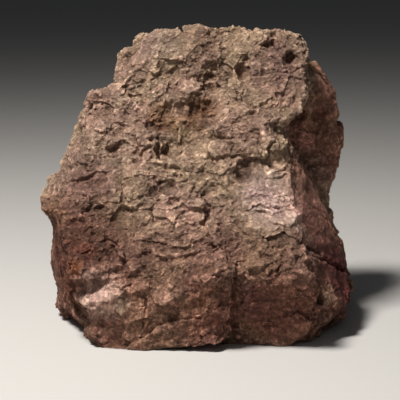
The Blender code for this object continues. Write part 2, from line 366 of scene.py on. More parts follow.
# %% Pits
# (across, up, half width, half height, depth), in mm
PITS = [
    (16.9, 98.5, 2.6, 3.4, 3.0), (18.3, 102.6, 1.7, 1.2, 1.2), (35.9, 103.0, 2.0, 2.2, 2.4),
    (36.7, 98.8, 1.5, 1.7, 1.3), (28.7, 108.6, 1.6, 1.4, 1.6), (26.3, 107.8, 1.6, 1.2, 1.1),
    (35.6, 110.5, 1.3, 1.2, 0.8), (30.2, 106.6, 1.6, 0.9, 0.7), (25.0, 97.6, 1.0, 1.8, 0.8),
    (10.0, 106.2, 1.2, 0.9, 0.8), (14.8, 88.8, 1.1, 1.6, 0.8), (15.8, 83.8, 1.1, 0.9, 0.9),
    (20.7, 83.4, 2.0, 0.9, 0.9), (31.3, 89.6, 2.2, 1.3, 1.0), (29.2, 85.7, 2.0, 1.0, 0.7),
    (4.6, 96.2, 2.4, 2.0, 1.9), (2.1, 91.8, 1.8, 1.2, 1.3), (6.9, 100.3, 1.3, 1.8, 0.9),
    (0.7, 94.3, 1.0, 0.7, 0.9), (-33.9, 85.6, 2.2, 2.0, 0.9), (-32.6, 77.8, 1.6, 1.2, 1.1),
    (-31.9, 69.5, 2.4, 2.7, 1.7), (-12.1, 68.4, 1.3, 3.3, 2.4),
    (-7.5, 60.6, 1.6, 1.6, 1.1), (5.4, 37.8, 1.8, 1.3, 1.2),
    (12.4, 39.7, 2.2, 1.2, 0.7), (-35.4, 32.9, 1.2, 1.0, 1.0), (-53.1, 29.2, 0.9, 0.9, 0.8),
    (45.3, 17.0, 1.8, 3.4, 2.4), (-10.9, 83.3, 0.8, 2.6, 1.0), (-2.7, 83.0, 0.8, 3.0, 1.2),
    (-24.1, 40.9, 1.2, 1.0, 0.9), (13.2, 68.0, 0.9, 5.0, 0.8),
]
PIT_SLOPE = 0.8


def oval(across, up, half_width, half_height):
    """1 at the middle of an oval on the front, falling to 0 at its rim."""
    away = ((spots[:, 0] - across) / half_width) ** 2 + ((spots[:, 1] - up) / half_height) ** 2
    return np.clip(1 - away, 0, 1) * faces_front


pit = np.zeros(len(places))
for across, up, half_width, half_height, depth in PITS:
    pit = np.maximum(pit, depth * oval(across, up, half_width, half_height) ** PIT_SLOPE)
keep_number("pit", pit)
print(len(PITS), "pits, the deepest", round(pit.max(), 1), "mm")

# %% Hollows and plates
# name: (across, up, half length, half height, turn, lean, height, tone). Lengths are in mm, the
# turn is in degrees, and the lean is how far the top stands out for each mm up. The height is
# how far the middle is lifted, or sunk where it is below 0. Three of the hollows are lifted,
# because the solid is cut too deep there, and they stay hollows. The tone is what the earth's
# brightness is multiplied by. Below 1, in the hollows, it is painted shade together with their
# darker earth. Above 1, on the plates, it is partly paler earth and partly painted light.
HOLLOWS = {
    "small": (-9.0, 97.5, 2.0, 1.3, 20, -0.2, -0.8, 0.82),
    "under the left brow": (-24.0, 92.0, 3.8, 2.4, 25, -0.2, -1.1, 0.82),
    "round brown": (-34.2, 85.3, 1.8, 1.6, 0, -0.1, -1.2, 0.82),
    "row of cracks": (-29.7, 78.3, 5.0, 1.2, -8, -0.2, -1.0, 0.85),
    "red wall": (-18.7, 78.3, 3.6, 2.8, 0, -0.15, -1.1, 0.84),
    "under the shelf": (-17.4, 73.0, 4.6, 1.0, 0, -0.3, -0.8, 0.85),
    "tan bowl": (-8.8, 69.5, 4.0, 5.2, 0, -0.1, -0.7, 1.04),
    "ribbed bowl": (1.1, 83.2, 5.0, 4.8, 0, -0.1, -0.9, 0.86),
    "under the pale ledge": (-10.5, 63.0, 4.6, 1.5, 0, -0.3, -1.0, 0.82),
    "round hollow": (2.6, 63.4, 3.0, 2.2, 0, -0.2, -0.8, 0.84),
    "long shadow": (22.7, 84.0, 4.6, 0.8, 0, -0.4, -0.8, 0.82),
    "under the block": (19.5, 75.6, 4.6, 2.2, 15, -0.3, 0.9, 0.90),
    "purple corner": (17.8, 61.6, 4.2, 5.2, 0, -0.15, -2.2, 0.50),
    "groove's foot": (14.7, 5.5, 2.6, 7.0, 0, 0.0, -1.0, 0.58),
    "purple hollow": (-13.4, 56.2, 6.4, 3.8, 25, -0.15, -1.2, 0.74),
    "under the lit ledge": (-24.3, 50.0, 4.4, 1.0, 5, -0.3, -0.8, 0.84),
    "left overhang": (-37.8, 49.6, 5.0, 1.8, -8, -0.4, -1.6, 0.64),
    "purple face": (-34.9, 44.4, 7.5, 4.2, 0, -0.05, -0.7, 0.86),
    "under the big plate": (-28.2, 19.4, 5.2, 1.4, 20, -0.3, -0.9, 0.80),
    "beside the pale knob": (-9.4, 14.5, 3.8, 4.6, 0, -0.05, -0.9, 0.82),
    "right foot's corner": (18.6, 29.0, 3.8, 3.4, 0, -0.2, -1.2, 0.78),
    "right foot's slit": (26.5, 30.2, 3.8, 1.5, 35, -0.3, -1.0, 0.76),
    "right foot's stain": (27.7, 22.9, 3.0, 3.0, 0, 0.0, -0.4, 0.84),
    "below the spall": (31.0, 40.0, 6.5, 2.8, 12, -0.2, 1.0, 0.86),
    "under the tip": (25.5, 42.2, 2.2, 2.8, -20, -0.1, 0.2, 0.86),
    "middle slit": (6.7, 43.0, 1.2, 4.4, -30, -0.1, -1.0, 0.84),
}
PLATES = {
    "tooth": (-14.8, 68.6, 3.0, 1.0, 85, 0.0, 1.6, 1.6),
    "top knob": (-16.1, 111.5, 3.2, 2.0, 0, -0.2, 0.8, 1.08),
    "grey": (-23.1, 102.9, 3.5, 2.3, 60, -0.1, 0.3, 1.14),
    "slanted": (-16.0, 105.4, 3.5, 1.9, 50, -0.1, 0.6, 1.12),
    "slanted lip": (-17.1, 101.0, 2.7, 1.0, 25, 0.2, 0.6, 1.04),
    "small knob": (-15.9, 98.3, 1.9, 1.9, 0, -0.2, 0.8, 1.12),
    "flat tan": (-3.1, 93.3, 5.0, 2.7, -4, -0.15, 0.6, 1.2),
    "pale knob": (-23.4, 86.5, 2.3, 1.9, 0, -0.2, 0.9, 1.2),
    "shelf": (-17.5, 75.2, 4.6, 1.1, 0, 0.1, 0.7, 1.06),
    "by the deep pit": (-26.0, 70.8, 2.3, 2.3, 0, -0.1, 0.1, 1.08),
    "crumbly block": (-41.7, 67.9, 4.2, 3.0, 0, -0.05, 0.4, 0.94),
    "lit slope": (-36.7, 64.4, 3.0, 2.2, 45, -0.1, 0.1, 1.1),
    "pale ledge": (-13.1, 65.7, 6.4, 1.1, -8, -0.2, 0.8, 1.16),
    "bright ridge": (3.0, 70.3, 4.5, 2.6, 40, -0.15, 0.5, 1.15),
    "pale facet": (24.3, 87.9, 3.4, 1.9, 25, -0.2, 0.5, 1.16),
    "lit facet": (22.6, 80.5, 5.0, 2.2, 0, -0.1, 0.4, 1.08),
    "cream": (25.0, 73.2, 2.7, 5.0, 0, -0.1, 0.6, 1.34),
    "block": (19.4, 71.1, 3.8, 2.4, 0, 0.0, 0.4, 0.98),
    "round lump": (-24.8, 55.4, 2.3, 2.9, 0, -0.1, 1.0, 1.12),
    "lit ledge": (-25.1, 51.8, 5.2, 1.0, 5, -0.2, 0.7, 1.15),
    "left bright": (-11.4, 48.6, 4.8, 3.0, 0, -0.15, 0.4, 1.22),
    "right bright": (-1.1, 48.0, 4.4, 2.8, 10, -0.2, 0.4, 1.28),
    "flakes": (-1.1, 41.5, 4.4, 2.9, 40, -0.1, 0.4, 1.2),
    "left flakes": (-6.6, 39.5, 4.5, 2.6, 20, -0.15, 0.5, 1.25),
    "ochre": (18.9, 42.9, 4.4, 2.4, 0, -0.1, 0.5, 0.98),
    "left low ledge": (-31.1, 32.5, 5.2, 1.4, -3, -0.1, 0.5, 1.08),
    "right low ledge": (-11.7, 33.9, 5.8, 1.1, -10, -0.2, 0.7, 1.2),
    "big pale": (-35.0, 21.8, 12.0, 4.4, 24, -0.4, 1.2, 1.08),
    "foot's brow": (-21.8, 24.0, 5.5, 2.4, 10, -0.35, 0.8, 1.25),
    "foot knob": (-12.2, 21.1, 3.3, 2.9, 10, -0.2, 0.9, 1.16),
    "foot lip": (20.9, 33.0, 3.8, 0.9, 8, -0.2, 0.9, 1.16),
    "spall's middle": (23.5, 50.7, 6.6, 2.2, 5, -0.1, 0.4, 1.0),
    "spall's tip": (28.9, 46.6, 5.2, 2.4, -15, -0.15, 0.5, 1.12),
    "spall's edge": (33.8, 47.9, 2.9, 2.5, 10, -0.1, 0.6, 1.1),
}
HOLLOW_EDGE = 0.9
PLATE_EDGE = 0.24
PLATE_CALM = 0.45


def facet(across, up, half_length, half_height, turn, edge):
    """1 inside a turned oval on the front, 0 outside, and how far above its middle each point is."""
    turn = math.radians(turn)
    aside, above = loose_spots[:, 0] - across, loose_spots[:, 1] - up
    along = aside * math.cos(turn) + above * math.sin(turn)
    over = above * math.cos(turn) - aside * math.sin(turn)
    inward = 1 - np.hypot(along / half_length, over / half_height)
    return np.clip(inward / edge, 0, 1) * faces_front, over


form, tone, calm = np.zeros(len(places)), np.ones(len(places)), np.zeros(len(places))
for table, edge in ((HOLLOWS, HOLLOW_EDGE), (PLATES, PLATE_EDGE)):
    for *shape, lean, height, shade_light_and_tone in table.values():
        inside, over = facet(*shape, edge)
        form += inside * (height + lean * over)
        # the tone paints shade into the hollows; on the plates it is paler earth and painted light
        tone *= 1 + (shade_light_and_tone - 1) * inside
        calm = np.maximum(calm, PLATE_CALM * inside * (height > 0))
keep_number("form", form)
keep_number("tone", tone)
print(len(HOLLOWS), "hollows and", len(PLATES), "plates")

# %% Lips
# (the points that the lip runs through, from left to right, across and up), height in mm
LIPS = [
    (((-37.2, 71.8), (-32.4, 72.9), (-27.5, 72.9), (-21.8, 71.1)), 0.7),
    (((-30.7, 88.7), (-26.9, 91.7), (-21.6, 93.1)), 0.7),
    (((-17.9, 64.8), (-11.2, 65.1), (-5.6, 63.9)), 0.8),
    (((-42.4, 50.2), (-39.3, 51.0), (-33.4, 50.5)), 0.8),
    (((-27.0, 52.3), (-20.6, 53.7)), 0.5),
    (((-14.1, 52.5), (-5.6, 53.6), (2.5, 55.4)), 0.5),
    (((-17.4, 32.0), (-10.9, 33.7), (-2.9, 35.3), (1.4, 36.7)), 0.6),
    (((6.0, 28.4), (9.7, 30.8), (15.1, 33.2), (23.1, 33.5)), 0.9),
    (((23.0, 28.6), (30.6, 33.0), (36.9, 35.2)), 0.4),
    (((16.4, 45.9), (23.4, 46.6), (31.0, 43.9), (36.6, 45.6)), 0.3),
    (((14.9, 66.6), (24.0, 67.1), (31.6, 69.8)), 0.4),
    (((23.8, 60.3), (29.0, 59.9), (33.7, 62.0)), 0.6),
    (((-20.2, 83.1), (-17.6, 83.8), (-12.7, 83.1)), 0.5),
    (((-7.7, 91.4), (0.7, 90.2), (5.3, 88.7)), 0.6),
    (((19.2, 53.4), (24.7, 54.0), (34.0, 52.4)), 0.4),
    (((17.3, 50.7), (23.5, 51.4), (32.0, 49.6), (36.7, 50.0)), 0.5),
    (((16.7, 48.5), (25.7, 48.8), (33.7, 47.5)), 0.5),
]
LIP_REACH = 1.6
LIP_EDGE = 0.2
LIP_FADE = 1.5

lip = np.zeros(len(places))
for line, height in LIPS:
    across, up = np.array(line).T
    above = spots[:, 1] - np.interp(spots[:, 0], across, up)
    from_end = np.minimum(spots[:, 0] - across[0], across[-1] - spots[:, 0])
    side = np.clip(above / LIP_EDGE, -1, 1) * np.exp(-np.abs(above) / LIP_REACH)
    lip += height * side * np.clip(from_end / LIP_FADE, 0, 1) * patchy * faces_front
keep_number("lip", lip)
print(len(LIPS), "lips")

# %% Cracks
# (the points that the crack runs through, across and up), half width, depth, in mm
CRACKS = [
    (((39.7, 35.8), (45.5, 31.4), (52.0, 26.4), (58.6, 21.2)), 1.0, 2.2),
    (((-19.2, 21.0), (-18.8, 16.0), (-19.9, 9.0)), 0.5, 1.0),
    (((-26.7, 34.8), (-26.5, 31.6)), 0.5, 1.2),
    (((-10.1, 33.0), (-9.5, 29.6)), 0.5, 1.2),
    (((-16.9, 51.5), (-16.5, 45.8)), 0.5, 1.1),
    (((-5.7, 50.0), (-7.5, 47.0), (-10.1, 42.0)), 0.5, 1.0),
    (((28.5, 73.6), (26.5, 70.0)), 0.6, 1.2),
    (((17.7, 53.5), (23.7, 54.6), (28.7, 53.6), (33.2, 54.2)), 0.35, 0.6),
    (((16.7, 50.2), (22.7, 51.2), (28.7, 49.6), (35.2, 50.8)), 0.35, 0.7),
    (((22.7, 48.6), (27.2, 47.6), (31.7, 48.8)), 0.35, 0.5),
    (((25.2, 54.4), (26.7, 51.4), (25.7, 48.6)), 0.3, 0.5),
    (((30.2, 50.2), (32.2, 52.6), (31.7, 54.2)), 0.3, 0.5),
    (((43.7, 48.0), (50.7, 40.0), (55.7, 30.0)), 0.35, 0.5),
    (((40.7, 62.0), (46.7, 54.0), (51.7, 44.0)), 0.35, 0.5),
    (((-31.8, 22.8), (-27.8, 23.6), (-24.3, 25.0)), 0.6, 1.2),
    (((13.3, 27.0), (12.9, 15.0), (13.7, 4.0)), 1.4, 1.8),
    (((41.7, 34.0), (41.5, 24.0), (42.7, 14.0)), 0.8, 1.2),
]


def beside(line, half_width):
    """1 on a bent line across the front, falling to 0 at this distance from it."""
    nearest = np.full(len(spots), np.inf)
    for start, end in zip(np.array(line), np.array(line[1:])):
        step = end - start
        along = np.clip((spots - start) @ step / (step @ step), 0, 1)
        nearest = np.minimum(nearest, np.linalg.norm(spots - start - np.outer(along, step), axis=1))
    return np.clip(1 - nearest / half_width, 0, 1) * faces_front


crack = np.zeros(len(places))
for line, half_width, depth in CRACKS:
    crack = np.maximum(crack, depth * beside(line, half_width))
keep_number("crack", crack)
print(len(CRACKS), "cracks")

# %% [markdown]
# ## Clean breaks
#
# The weather hasn't had the same time to work everywhere. The spall on the right, the two feet
# and the sides are cleaner breaks, so chips and ledges are held back there, and a little on the
# plates too. This is one number for each point again: 1 where the skin is fully weathered, near
# 0 on a clean break. The flat break underneath is left just as it is, so that the skin stands
# where the solid stands.

# %% Weathered or clean
# name: (across, back, up, radius) in mm, and how clean
CLEAN = {
    "spall": ((27, -32, 54, 17), 0.68),
    "right slope": ((52, -16, 40, 34), 0.88),
    "left side": ((-61, -14, 28, 27), 0.65),
    "left foot": ((-13, -48, 12, 22), 0.35),
    "right foot": ((32, -44, 14, 21), 0.4),
    "left foot's end": ((-31, -46, 12, 16), 0.4),
    "top edge": ((-6, 4, 112, 10), 0.7),
    "horn": ((29, 0, 96, 15), 0.35),
    "back lobe": ((60, 25, 84, 34), 0.65),
}
CLEAN_EDGE = 2.5
UNDERSIDE_BELOW = 1.5
UNDERSIDE_FACING = -0.8

weathered = np.ones(len(places))
for (*middle, radius), clean in CLEAN.values():
    away = np.linalg.norm(places - np.array(middle), axis=1) / radius
    weathered = np.minimum(weathered, 1 - clean * np.clip(CLEAN_EDGE * (1 - away), 0, 1))
weathered *= 1 - calm
underside = (places[:, 2] < UNDERSIDE_BELOW) & (facings[:, 2] < UNDERSIDE_FACING)
weathered[underside] = 0
keep_number("weathered", weathered)
keep_number("held", underside.astype(float))
print("mean weathering", round(weathered.mean(), 2))

# %% [markdown]
# ## The broken skin
#
# Chips, hackles, ledges, small pits and grain follow rules, so a Geometry Nodes tree makes them
# over the whole skin at once. Each rule is a function that says how far its kind of break stands
# out, in mm, as a plain Python sum. The tree adds the rules up and moves every point of the skin
# outwards by the total. Its sizes are named inputs, so another stone needs only other numbers.

# %% The tree's sizes
SKIN_INPUTS = {
    # name: its value, lengths in mm
    "Slab size": 15.0,
    "Slab step": 0.5,
    "Slab lean": 0.10,
    "Chip size": 7.0,
    "Chip step": 0.12,
    "Chip lean": 0.08,
    "Flake size": 2.4,
    "Flake step": 0.06,
    "Flake lean": 0.20,
    "Hackle size": 5.5,
    "Hackle depth": 1.0,
    "Hackle shrink": 0.45,
    "Scoop size": 9.0,
    "Scoop depth": 0.4,
    "Scoop shrink": 0.45,
    "Terrace size": 8.0,
    "Terrace rise": 0.5,
    "Terraces": 7.0,
    "Ledge height": 4.6,
    "Ledge depth": 0.12,
    "Pit spacing": 2.6,
    "Pit depth": 0.6,
    "Crumb size": 1.5,
    "Crumb depth": 0.85,
    "Rough size": 4.5,
    "Rough depth": 0.95,
    "Overhang": 0.02,
    "Seed": 3.0,
}
UP = (0, 0, 1)
BED_UP = Vector((-0.34, -0.12, 0.93)).normalized()
print(len(SKIN_INPUTS), "named sizes")

# %% [markdown]
# ### Chips and slabs
#
# A Voronoi pattern cuts space into cells. Each cell sets its bit of skin in or out and leans it
# its own way, by the cell's random colour. The cells are flattened along the bed and their walls
# are bent by noise, so they look like flakes that broke off rather than like tiles.

# %% Chips
MIDDLE_GREY = (0.5, 0.5, 0.5)
CHIP_SQUASH = 0.3
# a bend is (how wide its waves are, how far it moves a wall), both in cells
CHIP_BEND = (1.1, 0.5)
CHIP_TILT = 2


def bend(net, place, size, amount):
    """The place moved about by noise, so that cell walls aren't straight."""
    drift = net.vector("SUBTRACT", net.noise(place, size, out="Color"), MIDDLE_GREY)
    return net.vector("ADD", place, net.vector("SCALE", drift, amount))


def stretched(net, place, stretch):
    """The place stretched along the bed's up direction, which flattens a pattern there."""
    rise = net.vector("DOT_PRODUCT", place, BED_UP) * stretch
    return net.vector("ADD", place, net.vector("SCALE", tuple(BED_UP), rise))


def chipped(net, place, size, step, lean):
    """How far each chip stands out, in mm, and the chip's own random level."""
    even = net.vector("SCALE", stretched(net, place, CHIP_SQUASH), 1 / size)
    shade = net.cells(bend(net, even, *CHIP_BEND), "Color")
    inward = net.vector("SUBTRACT", even, shade.also("Position"))
    tilt = net.vector("DOT_PRODUCT", inward, net.vector("SUBTRACT", shade, MIDDLE_GREY))
    level = net.vector("DOT_PRODUCT", shade, (1, 0, 0))
    return level.centred() * step + tilt * lean * size * CHIP_TILT, level


print("the bed leans", round(math.degrees(BED_UP.angle(Vector(UP)))), "degrees")

# %% [markdown]
# ### Hackles, stairs and scoops
#
# Brittle earth tears in three more ways. Hackles are flat facets that meet in sharp ridges: the
# distance to a cell's middle, measured along the axes, has just such facets. Broken stairs are
# noise cut into flat treads. Scoops are rounded hollows: the height falls away on both sides of
# the noise's middle value, where a sharp ridge is left.

# %% Hackles
HACKLE_TURN = (0.6, 0.45, 0.8)
HACKLE_WAVES = 2.5
HACKLE_SWAY = 0.8
HACKLE_MIDDLE = 0.6


def hackled(net, place, size, depth):
    """Flat facets that meet in sharp ridges and creases, with no step between them."""
    bent = bend(net, place, size * HACKLE_WAVES, size * HACKLE_SWAY)
    values = {"Vector": bent, "Rotation": HACKLE_TURN}
    turned = net.node("ShaderNodeVectorRotate", {"rotation_type": "EULER_XYZ"}, values)
    values = {"Vector": net.vector("SCALE", turned, 1 / size), "Scale": 1.0}
    away = net.node("ShaderNodeTexVoronoi", {"distance": "MANHATTAN"}, values)
    return (HACKLE_MIDDLE - away) * depth


print("hackles are", SKIN_INPUTS["Hackle size"], "mm wide")

# %% Broken stairs
STAIR_DETAIL = 3
STAIR_SPREAD = 1.6
STAIR_STEEPNESS = 5
# patches are (size, noise where they start, noise where they are full), here in stair sizes
STAIR_PATCHES = (0.6, 0.42, 0.58)


def patchwork(net, place, size, low, high, start=0.0, end=1.0, detail=2):
    """Soft patches about this size: one number inside them and another outside."""
    return net.noise(place, size, detail).ramp(low, high, start, end)


def terraced(net, place, size, rise, steps, jag):
    """Flat treads with sharp jagged edges between them, like a flight of broken stairs."""
    level = net.noise(place, size, STAIR_DETAIL).centred() * steps * STAIR_SPREAD + jag
    tread = level.fraction()
    edge = (tread.centred() * STAIR_STEEPNESS + 0.5).larger(0).smaller(1)
    share, low, high = STAIR_PATCHES
    broken = patchwork(net, place, size * share, low, high, detail=1)
    return (level + (edge - tread) * broken) * rise / (steps * STAIR_SPREAD)


print("stairs are", SKIN_INPUTS["Terrace size"], "mm wide")

# %% Scoops
SCOOP_SQUASH = 0.7
SCOOP_SPREAD = 0.16
SCOOP_SIZES = 3


def scooped(net, place, size, depth, shrink):
    """Rounded scoops that meet in sharp ridges, flat along the bed, in several sizes."""
    spread = stretched(net, place, SCOOP_SQUASH)
    total = 0
    for level in range(SCOOP_SIZES):
        scale = shrink ** level if level else 1
        cloud = net.noise(net.vector("SCALE", spread, 1 / (size * scale)), 1, 1)
        total = (1 - cloud.centred().size() / SCOOP_SPREAD) * depth * scale + total
    return total


print("scoops come in", SCOOP_SIZES, "sizes")

# %% [markdown]
# ### Ledges, pits and crumbs
#
# Bauxite lies in beds, and harder layers stand out as thin ledges. A ledge is a saw-toothed
# function of the height across the bed: it leans out, then steps back. Pits are the round holes
# where a nodule fell out, in some cells only. Crumbs are cells that bulge, packed side by side.

# %% Ledges
# (how wide the bed's waves are in mm, how many layers they lift it)
BED_WAVES = ((21, 3.2), (5, 0.5))
LEDGE_LEAN = 0.82
# from here on the patches' size is in mm
LEDGE_PATCHES = (13, 0.40, 0.62)


def ledged(net, place, facing, height, depth):
    """Layers across the bed: each leans out towards its top, then steps back."""
    layer = net.vector("DOT_PRODUCT", place, BED_UP) / height
    for size, lift in BED_WAVES:
        layer = layer + net.noise(place, size) * lift
    rise = layer.fraction()
    profile = (rise / LEDGE_LEAN).smaller((1 - rise) / (1 - LEDGE_LEAN)).centred()
    steep = 1 - net.vector("DOT_PRODUCT", facing, BED_UP).size()
    return profile * depth * steep * patchwork(net, place, *LEDGE_PATCHES)


print("a layer is", SKIN_INPUTS["Ledge height"], "mm thick")

# %% Pits and crumbs
PIT_BEND = (0.8, 0.3)
PIT_RARITY = 0.62
PIT_RADIUS = 0.36
PIT_PATCHES = (17, 0.42, 0.58)
CRUMB_BEND = (0.7, 0.5)
CRUMB_MIDDLE = 0.35
CRUMB_LEAST = 0.3


def packed(net, place, size, bending, out="Distance"):
    """Crooked cells about this size, packed side by side."""
    return net.cells(bend(net, net.vector("SCALE", place, 1 / size), *bending), out)


def pitted(net, place, spacing, depth):
    """Small round pits in some of the cells."""
    away = packed(net, place, spacing, PIT_BEND)
    chosen = net.vector("DOT_PRODUCT", away.also("Color"), (0, 1, 0)) > PIT_RARITY
    round_hole = (1 - away / PIT_RADIUS).larger(0).root()
    return round_hole * chosen * depth * patchwork(net, place, *PIT_PATCHES, detail=1)


def crumbled(net, place, size, depth):
    """Rounded crumbs of uneven height, packed side by side."""
    away = packed(net, place, size, CRUMB_BEND)
    height = net.vector("DOT_PRODUCT", away.also("Color"), (0, 0, 1))
    return (CRUMB_MIDDLE - away * away) * depth * (CRUMB_LEAST + height)


print("pits are", round(2 * PIT_RADIUS * SKIN_INPUTS["Pit spacing"], 1), "mm across")

# %% [markdown]
# ### The tree itself
#
# The seed shifts the whole pattern, so the same sizes with another seed give another stone.
# Chips, ledges and pits count only as far as the skin is weathered, crumbs and grain stay
# faintly on clean breaks too, and the marks made by hand are added in full. What stands out
# droops a little, as an undercut edge does.

# %% The tree's inputs
SEED_SHIFT = (17.0, 31.0, 47.0)

tree = bpy.data.node_groups.new("broken_skin", "GeometryNodeTree")
tree.is_modifier = True
tree.interface.new_socket("Skin", in_out="INPUT", socket_type="NodeSocketGeometry")
tree.interface.new_socket("Skin", in_out="OUTPUT", socket_type="NodeSocketGeometry")
for name in SKIN_INPUTS:
    tree.interface.new_socket(name, in_out="INPUT", socket_type="NodeSocketFloat")
tree.interface.new_socket("Finish", in_out="INPUT", socket_type="NodeSocketMaterial")

net = Net(tree)
group = net.node("NodeGroupInput", out="Skin")
given = {name: group.also(name) for name in SKIN_INPUTS}
shift = net.vector("SCALE", SEED_SHIFT, given["Seed"])
position = net.node("GeometryNodeInputPosition")
place = net.vector("ADD", net.vector("SCALE", position, 1 / MM), shift)
facing = net.node("GeometryNodeInputNormal", out="Normal")
print("the tree has", len(given), "inputs for its sizes")

# %% The relief
# with the share outside the patches and the share inside them
FLAKE_PATCHES = (11, 0.38, 0.62, 0.3, 1.2)
CHIP_JAG = 0.5
FLAKE_JAG = 0.35


def asked(*names):
    """The tree's inputs with these names."""
    return [given[name] for name in names]


slab, slab_shade = chipped(net, place, *asked("Slab size", "Slab step", "Slab lean"))
chip, chip_shade = chipped(net, place, *asked("Chip size", "Chip step", "Chip lean"))
flake, flake_shade = chipped(net, place, *asked("Flake size", "Flake step", "Flake lean"))
flake = flake * patchwork(net, place, *FLAKE_PATCHES)
ledge = ledged(net, place, facing, *asked("Ledge height", "Ledge depth"))
hole = pitted(net, place, *asked("Pit spacing", "Pit depth"))
hackle_size, hackle_depth, hackle_shrink = asked("Hackle size", "Hackle depth", "Hackle shrink")
hackle = hackled(net, place, hackle_size, hackle_depth)
hackle = hackle + hackled(net, place, hackle_size * hackle_shrink, hackle_depth * hackle_shrink)
scoop = scooped(net, place, *asked("Scoop size", "Scoop depth", "Scoop shrink"))
jag = chip_shade * CHIP_JAG + flake_shade * FLAKE_JAG
stairs = terraced(net, place, *asked("Terrace size", "Terrace rise", "Terraces"), jag)
breaks = slab + chip + flake + hackle + scoop + stairs + ledge - hole
print("the relief takes", len(tree.nodes), "nodes")

# %% Grain and marks
CRUMB_PATCHES = (9, 0.36, 0.62, -0.7, 0.7)
ROUGH_DETAIL = 5
ROUGH_SHARE = 0.62
ROUGH_GAIN = 2
CLEAN_GRAIN = 0.35


def stored(name):
    """A number that the skin already carries."""
    return net.node("GeometryNodeInputNamedAttribute", None, {"Name": name}, "Attribute")


crumb = crumbled(net, place, *asked("Crumb size", "Crumb depth"))
crumb = crumb * patchwork(net, place, *CRUMB_PATCHES)
rough = net.noise(place, given["Rough size"], ROUGH_DETAIL, ROUGH_SHARE)
rough = rough.centred() * given["Rough depth"] * ROUGH_GAIN

weather = stored("weathered")
relief = breaks * weather
marks = stored("pit") + stored("crack")
forms = stored("lip") + stored("form") - marks
loose = 1 - stored("held")
moved = (relief + (crumb + rough) * weather.lifted(CLEAN_GRAIN) + forms) * loose
print("with grain and marks it has", len(tree.nodes), "nodes")

# %% Move the skin
outward = net.vector("SCALE", facing, moved * MM)
droop = net.vector("SCALE", UP, relief.larger(0) * given["Overhang"] * -MM * loose)
offset = net.vector("ADD", outward, droop)
skin = net.node("GeometryNodeSetPosition", None, {"Geometry": group, "Offset": offset})
kept = {
    "slab_shade": slab_shade,
    "chip_shade": chip_shade,
    "flake_shade": flake_shade,
    "hollow": marks,
}
for name, value in kept.items():
    skin = net.node(
        "GeometryNodeStoreNamedAttribute",
        {"data_type": "FLOAT", "domain": "POINT"},
        {"Geometry": skin, "Name": name, "Value": value},
    )
skin = net.node("GeometryNodeRealizeInstances", None, {"Geometry": skin})
finish = group.also("Finish")
skin = net.node("GeometryNodeSetMaterial", None, {"Geometry": skin, "Material": finish})
net.node("NodeGroupOutput", None, {"Skin": skin})
print("the whole tree has", len(tree.nodes), "nodes")

# %% Break the skin
earth = bpy.data.materials.new("dry_bauxite")
earth.use_nodes = True

breaking = rock.modifiers.new("broken_skin", "NODES")
breaking.node_group = tree
for item in tree.interface.items_tree:
    if item.in_out == "INPUT" and item.name in SKIN_INPUTS:
        breaking[item.identifier] = SKIN_INPUTS[item.name]
    elif item.in_out == "INPUT" and item.name == "Finish":
        breaking[item.identifier] = earth
bake_modifiers(rock)
print("the skin is broken:", len(rock.data.vertices), "points")

# %% [markdown]
# ## Fewer faces
#
# The grid is far finer on flat places than they need. Decimate merges faces where the skin
# hardly bends and keeps them where it does, so chips and pit rims stay sharp. It runs twice:
# mostly on the rear, which can do with fewer, and then on the whole skin. Nothing may dip below
# the ground that the rock stands on.

# %% Thin the skin
FACES = 194000
REAR_SHARE = 0.30
REAR_GAIN = 2
REAR_LEVELS = 4


def triangle_count():
    return sum(len(face.vertices) - 2 for face in rock.data.polygons)


_, facings = skin_points()
rear = np.clip(0.5 + REAR_GAIN * facings[:, 1], 0, 1)
rear_group = rock.vertex_groups.new(name="rear")
rear_levels = (rear * REAR_LEVELS).round()
for level in np.unique(rear_levels):
    points = np.nonzero(rear_levels == level)[0].tolist()
    rear_group.add(points, level / REAR_LEVELS, "REPLACE")

at_first = triangle_count()
first = rock.modifiers.new("thin_rear", "DECIMATE")
first.vertex_group = rear_group.name
first.ratio = 1 - (1 - REAR_SHARE) * rear.mean()
bake_modifiers(rock)
midway = triangle_count()
second = rock.modifiers.new("thin", "DECIMATE")
second.ratio = FACES / midway
bake_modifiers(rock)
print(at_first, "triangles, then", midway, "and then", triangle_count())

# %% Keep above the ground
places, _ = skin_points()
places[:, 2] = np.maximum(places[:, 2], 0)
rock.data.vertices.foreach_set("co", (places * MM).ravel())
rock.data.update()
print("lowest point", round(places[:, 2].min(), 2), "mm")

# %% [markdown]
# ## Hollow or proud
#
# Dust and weather treat the two differently: proud edges are rubbed pale, and they also get a
# painted highlight; hollows keep red earth, and they also get painted shade. To know which is
# which, the skin is smoothed in numbers only, and each point is compared with its smoothed self:
# below it is a hollow, above it is an edge. A few rounds of smoothing find the chips' edges, many
# rounds find the broad hollows.

# %% Measure the relief
SMOOTHING = {"fine_relief": 6, "broad_relief": 45}


def smoothed(values, rounds):
    """Values on points, each averaged with its neighbours again and again."""
    links = np.empty(len(rock.data.edges) * 2, dtype=np.int64)
    rock.data.edges.foreach_get("vertices", links)
    ends = np.concatenate([links[0::2], links[1::2]])
    others = np.concatenate([links[1::2], links[0::2]])
    count = len(values)
    neighbours = np.bincount(ends, minlength=count)[:, None]
    for _ in range(rounds):
        sums = [np.bincount(ends, weights=way[others], minlength=count) for way in values.T]
        values = (values + np.stack(sums, axis=1) / neighbours) / 2
    return values


places, facings = skin_points()
for name, rounds in SMOOTHING.items():
    proud = np.einsum("ij,ij->i", places - smoothed(places, rounds), facings)
    keep_number(name, proud)
    print(name, "from", proud.min().round(2), "to", proud.max().round(2), "mm")

